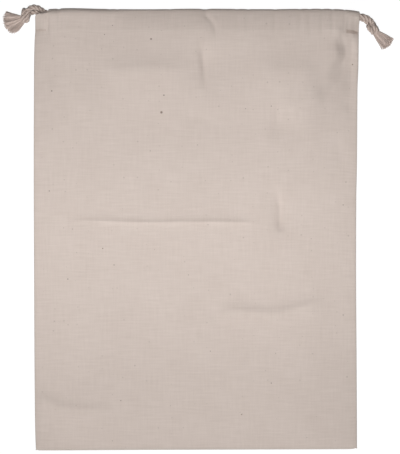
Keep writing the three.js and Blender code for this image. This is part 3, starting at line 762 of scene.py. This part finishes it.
def stitch_tree(material):
    """Tree that lays stitches end to end along a line."""
    sockets = {"Geometry": "Geometry", "Pitch": "Float", "Half Length": "Float", "Radius": "Float"}
    tree, given, result = new_tree("GeometryNodeTree", "run of stitches", sockets, {"Geometry": "Geometry"})
    line = output(tree, "GeometryNodeMeshToCurve", {0: given["Geometry"]})
    marks = node(tree, "GeometryNodeCurveToPoints", {0: line, "Length": given["Pitch"]}, mode="LENGTH")
    bead = output(tree, "GeometryNodeMeshUVSphere", {"Segments": 8, "Rings": 6, "Radius": 1.0})
    size = xyz(tree, given["Radius"], given["Radius"], given["Half Length"])
    stitch = output(tree, "GeometryNodeTransform", {"Geometry": bead, "Scale": size})
    laid = output(tree, "GeometryNodeInstanceOnPoints", {
        "Points": marks.outputs["Points"], "Instance": stitch, "Rotation": marks.outputs["Rotation"]})
    finish_tree(tree, laid, material, result)
    return tree


def grow(name, lines, tree, values):
    """Plain mesh object that a tree grows along lines of points."""
    edges = []
    start = 0
    for line in lines:
        edges.extend((start + i, start + i + 1) for i in range(len(line) - 1))
        start += len(line)
    guide = bpy.data.meshes.new(name)
    guide.from_pydata(np.concatenate(lines).tolist(), edges, [])
    grown = add_object(name, guide)
    modifier = grown.modifiers.new("grow", "NODES")
    modifier.node_group = tree
    for item in tree.interface.items_tree:
        if item.in_out == "INPUT" and item.name in values:
            modifier[item.identifier] = values[item.name]
    evaluated = grown.evaluated_get(bpy.context.evaluated_depsgraph_get())
    mesh = bpy.data.meshes.new_from_object(evaluated)
    grown.modifiers.clear()
    grown.data = mesh
    mesh.name = name
    return grown


def stitch_line(row, sink):
    """Line of a run of stitches along a row of a panel's outer face."""
    line = curve_through(row[STITCH_ENDS:-STITCH_ENDS], STITCH_STEP)
    return line + np.array([0, 0, sink * SEWING_THREAD])


sewing_thread = thread_material("sewing thread", THREAD_DARK, THREAD_COLOUR)
stitch_run = stitch_tree(sewing_thread)
stitch_sizes = {"Pitch": STITCH_PITCH, "Half Length": STITCH_HALF, "Radius": SEWING_THREAD}
front_run = stitch_line(front_stitch_row, FRONT_SINK)
back_run = stitch_line(back_stitch_row, BACK_SINK)
front_stitches = grow("front_stitches", [front_run], stitch_run, stitch_sizes)
back_stitches = grow("back_stitches", [back_run], stitch_run, stitch_sizes)
for stitches in (front_stitches, back_stitches):
    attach(stitches, "root")

# Bar tacks: rows of close stitches in brown thread on the front, across the foot of each side slit.
# They end the casing's stitches, and keep the slits from tearing further down the side seams.
TACKS = (  # where each begins and ends across the bag, and its rows' distances down from the mouth fold
    (-0.1484, -0.1405, (0.0192, 0.0203)),
    (0.1396, 0.1489, (0.0186, 0.0193, 0.0200, 0.0207, 0.0214)),
)
TACK_PITCH = 0.0014
TACK_HALF = 0.0009
TACK_POINTS = 12  # in the line of each row
FEEL_FROM = 0.1  # height from which the cloth is felt for
TACK_COLOUR = (0.540, 0.428, 0.366)
TACK_DARK = (0.420, 0.320, 0.268)


def tack_lines():
    """Rows of both tacks, laid on the front's face by feeling for it from above."""
    bpy.context.view_layer.update()
    lines = []
    for first, last, downs in TACKS:
        x = np.linspace(first, last, TACK_POINTS)
        for down in downs:
            spots = [(a, b, FEEL_FROM) for a, b in zip(x, top_edge(x) - down)]
            lines.append(np.array([front_cloth.ray_cast(spot, (0, 0, -1))[1] for spot in spots]))
    return lines


tack_thread = thread_material("tack thread", TACK_DARK, TACK_COLOUR)
tack_sizes = {"Pitch": TACK_PITCH, "Half Length": TACK_HALF, "Radius": SEWING_THREAD}
slit_tacks = grow("slit_tacks", tack_lines(), stitch_tree(tack_thread), tack_sizes)
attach(slit_tacks, "root")

# Drawstring: two cords of three cotton strands laid up in a twist, one through each casing.
# They come out at the side slits, where both are tied together, and lie down on the surface.
ROPE = 0.0026  # radius over the strands, with their fluff
STRAND = 0.58 * ROPE  # radius of one strand
TWIST_RADIUS = ROPE - STRAND  # of the circle round which the strands are laid
STRANDS = 3
STRAND_SIDES = 10
LAY = 0.013  # length in which a strand goes round once
SQUEEZE = 0.2  # how much thinner the cord is where its casing presses it
SQUEEZE_RUN = 0.008
ROPE_STEP = 0.0008  # between the points of a cord's line
CASING_STATIONS = (-0.115, -0.080, -0.040, 0.0, 0.040, 0.080, 0.120)
FRONT_LEFT = ((-0.1330, 0.2002, 0.01185), (-0.1375, 0.2008, 0.01155), (-0.1415, 0.2024, 0.0112),
              (-0.1470, 0.2058, 0.0102), (-0.1520, 0.2066, 0.0086), (-0.1554, 0.2050, 0.0072),
              (-0.1570, 0.2030, 0.0064), (-0.1590, 0.1993, 0.0052), (-0.1618, 0.1960, 0.0045))
FRONT_RIGHT = ((0.1500, 0.1986, 0.01065), (0.1550, 0.1979, 0.0099), (0.1594, 0.1960, 0.0082),
               (0.1628, 0.1928, 0.0062), (0.1646, 0.1899, 0.0050), (0.1655, 0.1868, 0.0044),
               (0.1668, 0.1834, 0.0042))
BACK_LEFT = ((-0.1360, 0.2005, 0.00345), (-0.1420, 0.2013, 0.00345), (-0.1473, 0.2020, 0.0034),
             (-0.1520, 0.2020, 0.0031), (-0.1551, 0.2006, 0.0034), (-0.1582, 0.1980, 0.0036),
             (-0.1612, 0.1952, 0.0038))
BACK_RIGHT = ((0.1380, 0.1992, 0.00345), (0.1500, 0.1967, 0.00345), (0.1550, 0.1954, 0.0033),
              (0.1580, 0.1935, 0.0031), (0.1604, 0.1906, 0.0035), (0.1628, 0.1870, 0.0038),
              (0.1655, 0.1838, 0.0040))
CORD_COLOUR = (0.660, 0.560, 0.500)
CORD_DARK = (0.440, 0.342, 0.298)
# colour of the painted shade in the grooves between the strands
PAINTED_GROOVE_SHADE = (0.330, 0.250, 0.214)
YARN_RIDGES = (6.0, 260.0)  # yarns side by side round a strand, and in a metre along it
FIBRES = (9.0, 900.0, 1.0)  # changes round a strand, and in a metre along it
FIBRE_RELIEF = 1.6
RIDGE_RELIEF = 0.35


def cord_material():
    """Loosely spun cotton: fine yarns that wind round each strand, paler on their backs, with painted shade
    between the yarns and in the grooves between the strands.
    """
    material, tree, shader = new_material("twisted cotton", roughness=0.95, sheen=0.20)
    spot = output(tree, "ShaderNodeUVMap", uv_map="strand")
    around, along = parts_of(tree, spot)[:2]
    sideways = maths(tree, "MULTIPLY", around, YARN_RIDGES[0])
    wound = maths(tree, "MULTIPLY_ADD", along, YARN_RIDGES[1], sideways)
    ridges = maths(tree, "SINE", maths(tree, "MULTIPLY", wound, 2 * math.pi))
    fibre = noise_at(tree, vectors(tree, "MULTIPLY", spot, FIBRES), scale=1.0, detail=3.0)[0]
    height = maths(tree, "MULTIPLY_ADD", fibre, FIBRE_RELIEF, maths(tree, "MULTIPLY", ridges, RIDGE_RELIEF))
    # darker down in the relief: random tone of the fibres, and painted shade between the yarns
    colour = blend(tree, ramp(tree, height, 0.3, 1.3), CORD_DARK, CORD_COLOUR)
    # painted shade: each strand darker on its side towards the others, in the grooves of the cord
    outwards = maths(tree, "COSINE", maths(tree, "MULTIPLY", around, 2 * math.pi))
    colour = blend(tree, ramp(tree, outwards, -0.3, 0.6), PAINTED_GROOVE_SHADE, colour)
    dress(tree, shader, colour, height, strength=0.6, depth=0.0002)
    return material


def rope_frames(line):
    """Side and upright vectors along a line, carried along it without a twist of their own."""
    ahead = unit(np.gradient(line, axis=0))
    side = np.cross((0.0, 0.0, 1.0), ahead[0])
    sides = []
    for direction in ahead:
        side = side - direction * side.dot(direction)
        side = side / np.linalg.norm(side)
        sides.append(side)
    return np.array(sides), np.cross(ahead, sides)


def strand_skin(first, travelled):
    """Faces of a strand whose corners are numbered from first, and the places of their corners:
    the share of the way round the strand, and the distance along it."""
    last = len(travelled) - 1
    loops = [((k, i), (k + 1, i), (k + 1, i + 1), (k, i + 1))
             for i in range(last) for k in range(STRAND_SIDES)]
    loops.append([(k, 0) for k in reversed(range(STRAND_SIDES))])
    loops.append([(k, last) for k in range(STRAND_SIDES)])
    faces = [[first + i * STRAND_SIDES + k % STRAND_SIDES for k, i in loop] for loop in loops]
    return faces, [(k / STRAND_SIDES, travelled[i]) for loop in loops for k, i in loop]


def rope_piece(name, line):
    """Mesh object of twisted rope along a line of points."""
    corners, faces, places = [], [], []
    ring = (2 * math.pi * np.arange(STRAND_SIDES) / STRAND_SIDES)[:, None]
    travelled = measure_along(line)
    sides, uprights = rope_frames(line)
    inside = smoothstep((HALF_WIDTH - SQUEEZE_RUN - np.abs(line[:, 0])) / SQUEEZE_RUN)
    girth = (1 - SQUEEZE * inside)[:, None, None]
    for strand in range(STRANDS):
        turn = 2 * math.pi * (strand / STRANDS + travelled / LAY)[:, None]
        out = (np.cos(turn) * sides + np.sin(turn) * uprights)[:, None]
        round_it = (np.cos(turn) * uprights - np.sin(turn) * sides)[:, None]
        section = np.cos(ring) * out + np.sin(ring) * round_it
        rings = line[:, None] + girth * (TWIST_RADIUS * out + STRAND * section)
        strand_faces, strand_places = strand_skin(len(corners), travelled)
        corners.extend(rings.reshape(-1, 3).tolist())
        faces.extend(strand_faces)
        places.extend(strand_places)
    return mesh_piece(name, corners, faces, "strand", places, twisted_cotton)


def cord_line(left, right, height_at):
    """Centreline of a cord from its left end, through its casing, to its right end."""
    hidden = [(x, float(top_edge(x)) - CORD_SET_BACK, float(height_at(x))) for x in CASING_STATIONS]
    return curve_through([*left[::-1], *hidden, *right], ROPE_STEP)


twisted_cotton = cord_material()
front_line = cord_line(FRONT_LEFT, FRONT_RIGHT, front_cord_height)
back_line = cord_line(BACK_LEFT, BACK_RIGHT, lambda x: BACK_CORD_HEIGHT)
front_rope = rope_piece("front_rope", front_line)
back_rope = rope_piece("back_rope", back_line)

# Knots: at each side both cords are tied together in one small overhand knot.
# Its two turns lie side by side round the cords that pass through it, and it rests on the surface.
KNOTS = (  # name, middle, heading and lean in degrees, half width, half height, half the pitch of its turns
    ("left", (-0.1588, 0.1990, 0.0049), 176, -10, 0.0075, 0.0048, 0.00185),
    ("right", (0.1637, 0.1869, 0.0049), 22, 0, 0.0060, 0.0049, 0.0022),
)
WRAP_ANGLES = (-80, 620)  # degrees through which the wrapping cord is followed
WRAP_POINTS = 72
WRAP_LIMIT = 1.2  # half pitches from the middle beyond which its turns move on no further
TUCK = (0.35, 70)  # share of their reach that its ends keep, and degrees over which they go in


def knot_line(middle, heading, lean, across, height, half_pitch):
    """Centreline of the cord that wraps a knot, with both its ends led into the middle."""
    lean = math.radians(heading + lean)
    ahead = np.array((math.cos(math.radians(heading)), math.sin(math.radians(heading)), 0.0))
    aside = np.array((-math.sin(lean), math.cos(lean), 0.0))
    angles = np.linspace(*WRAP_ANGLES, WRAP_POINTS)
    from_end = np.minimum(angles - WRAP_ANGLES[0], WRAP_ANGLES[1] - angles)
    reach = TUCK[0] + (1 - TUCK[0]) * smoothstep(from_end / TUCK[1])
    turns = np.radians(angles)
    along = half_pitch * np.clip((angles - sum(WRAP_ANGLES) / 2) / 180, -WRAP_LIMIT, WRAP_LIMIT)
    wide = (across - ROPE) * reach * np.cos(turns)
    tall = (height - ROPE) * reach * np.sin(turns)
    line = np.array(middle) + along[:, None] * ahead + wide[:, None] * aside
    line[:, 2] += tall
    return curve_through(line, ROPE_STEP)


knots = {}
for side, *shape in KNOTS:
    knots[side] = rope_piece(f"{side}_knot_turns", knot_line(*shape))
    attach(knots[side], "root")
    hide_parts(f"{side}_knot")

# Frayed ends: beyond each knot both cords are untwisted into soft yarns, cut to length.
# The yarns fan out from the knot and lie down on the surface.
TASSELS = (  # name, neck, first and last direction in degrees, locks, and reach along the fan
    ("left", (-0.1624, 0.1948, 0.0043), (152, 260), 24,
     ((0, 0.0168), (0.33, 0.0174), (0.62, 0.0162), (0.75, 0.0152), (0.87, 0.0118), (1, 0.0068))),
    ("right", (0.1672, 0.1825, 0.0043), (-17, -69), 14,
     ((0, 0.0166), (0.35, 0.0169), (1, 0.0163))),
)
LOCK_LAYERS = ((0.0004, 1.0), (0.0017, 0.97), (0.0031, 0.88))  # height of the tips, share of the reach
LOCK_STAGGER = 0.25  # how far each layer is set over from the one below it, in locks
LOCK_UNEVENNESS = 0.06
LOCK_BEND = (0.15, 0.3)  # shares of a lock's length before its bend, straight out and then its own way
LOCK_POINTS = 10
BEND_RISE = 0.0012  # height of the bend above the tip
ROOT_SPREAD = 0.0022
ROOT_DEPTH = 0.003  # the yarns begin this far inside the knot
ROOT_SLOPE = 0.3  # share of the way from the neck's height to the tip's at which a root lies
ROOT_LAYER = 0.0004  # and its rise from layer to layer
YARNS = 5  # in each lock
YARN = 0.00026  # radius
YARN_SIDES = 5
YARN_POINTS = 12
YARN_SPREAD = 0.0009  # how far the yarns of a lock stray at their tips
YARN_ROOTS = 0.25  # share of it at their roots
YARN_WAVINESS = 0.0012
YARN_WAVES = 160.0  # in a metre
YARN_PARTING = 9.0  # how far apart the waves of two yarns are looked up
LOCK_SEED = 5
LOCK_SHADE = 0.75  # share of a yarn's shade that it has in common with its lock
YARN_COLOUR = (0.780, 0.650, 0.585)
YARN_DARK = (0.290, 0.212, 0.176)


def yarn_material():
    """Soft untwisted yarn, each one a little paler or darker than the next."""
    material, tree, shader = new_material("frayed yarn", roughness=0.95, sheen=0.25)
    shade = node(tree, "ShaderNodeAttribute", attribute_name="yarn_shade").outputs["Fac"]
    spot = node(tree, "ShaderNodeTexCoord").outputs["Object"]
    fibre = noise_at(tree, spot, scale=1500.0, detail=2.0)[0]
    pale = maths(tree, "MULTIPLY_ADD", fibre, 0.5, maths(tree, "MULTIPLY", shade, 0.7))
    dress(tree, shader, blend(tree, pale, YARN_DARK, YARN_COLOUR), fibre, strength=0.5, depth=0.0002)
    return material


def by_chance(tree, kind, **inputs):
    """Node of random values, and its output."""
    made = node(tree, "FunctionNodeRandomValue", inputs, data_type=kind)
    return made, next(s for s in made.outputs if s.enabled)


def scaled(tree, vector, factor):
    """Vector made longer or shorter."""
    return output(tree, "ShaderNodeVectorMath", {0: vector, "Scale": factor}, operation="SCALE")


def fray_tree(material):
    """Tree that parts each guide line into yarns, which spread towards their tips above the surface."""
    sockets = {"Geometry": "Geometry", "Yarns": "Int", "Radius": "Float",
               "Spread": "Float", "Waviness": "Float", "Seed": "Int"}
    tree, given, result = new_tree("GeometryNodeTree", "frayed yarns", sockets, {"Geometry": "Geometry"})
    line = output(tree, "GeometryNodeMeshToCurve", {0: given["Geometry"]})
    even = output(tree, "GeometryNodeResampleCurve", {"Curve": line, "Count": YARN_POINTS})
    copies = output(tree, "GeometryNodeDuplicateElements",
                    {"Geometry": even, "Amount": given["Yarns"]}, domain="SPLINE")
    chance, any_way = by_chance(tree, "FLOAT_VECTOR", Seed=given["Seed"])
    chance.inputs["Min"].default_value = (-1.0, -1.0, -1.0)
    own_way = output(tree, "GeometryNodeFieldOnDomain",
                     {0: any_way}, domain="CURVE", data_type="FLOAT_VECTOR")
    place = node(tree, "GeometryNodeSplineParameter").outputs["Factor"]
    widening = maths(tree, "MULTIPLY_ADD", place, 1 - YARN_ROOTS, YARN_ROOTS)
    fan = scaled(tree, own_way, maths(tree, "MULTIPLY", given["Spread"], widening))
    position = output(tree, "GeometryNodeInputPosition")
    spot = vectors(tree, "MULTIPLY", position, (YARN_WAVES,) * 3)
    looked_up = vectors(tree, "MULTIPLY_ADD", own_way, (YARN_PARTING,) * 3, spot)
    wave = noise_at(tree, looked_up, scale=1.0, detail=1.0)["Color"]
    swing = vectors(tree, "SUBTRACT", wave, (0.5, 0.5, 0.5))
    sway = scaled(tree, swing, maths(tree, "MULTIPLY", given["Waviness"], place))
    x, y, z = parts_of(tree, vectors(tree, "ADD", position, vectors(tree, "ADD", fan, sway)))
    resting = xyz(tree, x, y, maths(tree, "MAXIMUM", z, given["Radius"]))
    laid = output(tree, "GeometryNodeSetPosition", {"Geometry": copies, "Position": resting})
    order = output(tree, "GeometryNodeInputIndex")
    lock = maths(tree, "FLOOR", maths(tree, "DIVIDE", order, given["Yarns"]))
    own_shade = by_chance(tree, "FLOAT", Seed=given["Seed"])[1]
    lock_shade = by_chance(tree, "FLOAT", ID=lock, Seed=LOCK_SEED)[1]
    mixed = maths(tree, "MULTIPLY_ADD", lock_shade, LOCK_SHADE,
                  maths(tree, "MULTIPLY", own_shade, 1 - LOCK_SHADE))
    shaded = output(tree, "GeometryNodeStoreNamedAttribute",
                    {"Geometry": laid, "Name": "yarn_shade", "Value": mixed},
                    domain="CURVE", data_type="FLOAT")
    section = output(tree, "GeometryNodeCurvePrimitiveCircle",
                     {"Resolution": YARN_SIDES, "Radius": given["Radius"]})
    yarns = output(tree, "GeometryNodeCurveToMesh", {
        "Curve": shaded, "Profile Curve": section, "Fill Caps": True})
    finish_tree(tree, yarns, material, result)
    return tree


def level(angle):
    """Level direction at an angle."""
    return np.array((math.cos(angle), math.sin(angle), 0.0))


def lock_lines(neck, fan, locks, reach):
    """Guide lines of the locks of a frayed end, layer on layer."""
    root = np.array(neck)
    first, last = np.radians(fan)
    outwards = level(0.5 * (first + last))
    sideways = np.array((-outwards[1], outwards[0], 0.0)) * math.copysign(1, last - first)
    reach_at = smooth_line(reach)
    t = np.linspace(0, 1, LOCK_POINTS)[:, None]
    lines = []
    for layer, (tip, share) in enumerate(LOCK_LAYERS):
        for i in range(locks):
            place = min((i + LOCK_STAGGER * (layer + 1)) / locks, 1)
            direction = level(first + place * (last - first))
            uneven_end = 1 - LOCK_UNEVENNESS * ((i * 3 + layer * 2) % 4) / 3
            length = float(reach_at(place)) * share * uneven_end
            start = root + ROOT_SPREAD * (2 * place - 1) * sideways - ROOT_DEPTH * outwards
            start[2] = root[2] + ROOT_SLOPE * (tip - root[2]) + ROOT_LAYER * layer
            finish = root + length * direction
            finish[2] = tip
            bend = start + LOCK_BEND[0] * length * outwards + LOCK_BEND[1] * length * direction
            bend[2] = tip + BEND_RISE
            lines.append((1 - t) ** 2 * start + 2 * t * (1 - t) * bend + t**2 * finish)
    return lines


frayed_yarn = yarn_material()
fray = fray_tree(frayed_yarn)
frayed = {}
for seed, (side, *shape) in enumerate(TASSELS):
    sizes = {"Yarns": YARNS, "Radius": YARN, "Spread": YARN_SPREAD, "Waviness": YARN_WAVINESS, "Seed": seed}
    frayed[side] = grow(f"{side}_frayed_end", lock_lines(*shape), fray, sizes)
    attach(frayed[side], "root")
    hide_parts(f"{side}_tassel")

# Cords: each runs along its own line from one knot to the other. Both are attached to the root, in place of
# the cords of model.glb, which are hidden.
for rope, line, node_name, side in ((front_rope, front_line, "front_cord", "left"),
                                    (back_rope, back_line, "back_cord", "right")):
    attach(rope, "root")
    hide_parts(node_name)

# Studio: a plain white surface under one soft light straight above, which fades towards the bag's ends.
# A lower light from the foot and left brings out the creases. The surface shows white, with no shadow.
FLOOR_SIZE = 6.0
FLOOR_DROP = 0.0002
FLOOR_ALBEDO = 0.10
FLOOR_GLOW = 0.95
SKY = 0.10
LAMP_HEIGHT = 3.0
LAMP_REACH = (0.90, 0.35)  # distance at which its light ends, across the bag and along it
LAMP_MIDDLE = (-0.02, -0.01)
LAMP_SIZE = 0.30
LAMP_WATTS = 304.0
SUN_STRENGTH = 1.65
SUN_PLACE = (-0.30, -0.95, 0.70)  # direction that it shines from
SUN_SPREAD = 0.35  # radians
WHITE = (1.0, 1.0, 1.0, 1.0)

half = 0.5 * FLOOR_SIZE
floor_corners = ((-half, -half), (half, -half), (half, half), (-half, half))
plane = bpy.data.meshes.new("floor")
plane.from_pydata([(x, y, -FLOOR_DROP) for x, y in floor_corners], [], [(0, 1, 2, 3)])
floor = add_object("floor", plane)
white, tree, shader = new_material("white surface", roughness=0.9, sheen=0.0)
shader.inputs["Base Color"].default_value = (FLOOR_ALBEDO, FLOOR_ALBEDO, FLOOR_ALBEDO, 1.0)
shader.inputs["Emission Color"].default_value = WHITE
seen = node(tree, "ShaderNodeLightPath").outputs["Is Camera Ray"]
tree.links.new(maths(tree, "MULTIPLY", seen, FLOOR_GLOW), shader.inputs["Emission Strength"])
plane.materials.append(white)

world = bpy.data.worlds.new("sky")
world.use_nodes = True
sky = world.node_tree.nodes["Background"].inputs
sky["Color"].default_value = WHITE
sky["Strength"].default_value = SKY
bpy.context.scene.world = world

lamp = bpy.data.lights.new("overhead", "SPOT")
lamp.energy = LAMP_WATTS
lamp.shadow_soft_size = LAMP_SIZE
lamp.spot_size = 2 * math.atan(LAMP_REACH[1] / LAMP_HEIGHT)
lamp.spot_blend = 1.0
overhead = add_object("overhead", lamp)
overhead.location = (*LAMP_MIDDLE, LAMP_HEIGHT)
overhead.scale = (LAMP_REACH[0] / LAMP_REACH[1], 1.0, 1.0)
sun = bpy.data.lights.new("foot", "SUN")
sun.energy = SUN_STRENGTH
sun.angle = SUN_SPREAD
foot = add_object("foot", sun)
foot.rotation_euler = Vector(SUN_PLACE).to_track_quat("Z", "Y").to_euler()
for light in (overhead, foot):
    light.visible_camera = False
bpy.context.scene.view_settings.view_transform = "Standard"
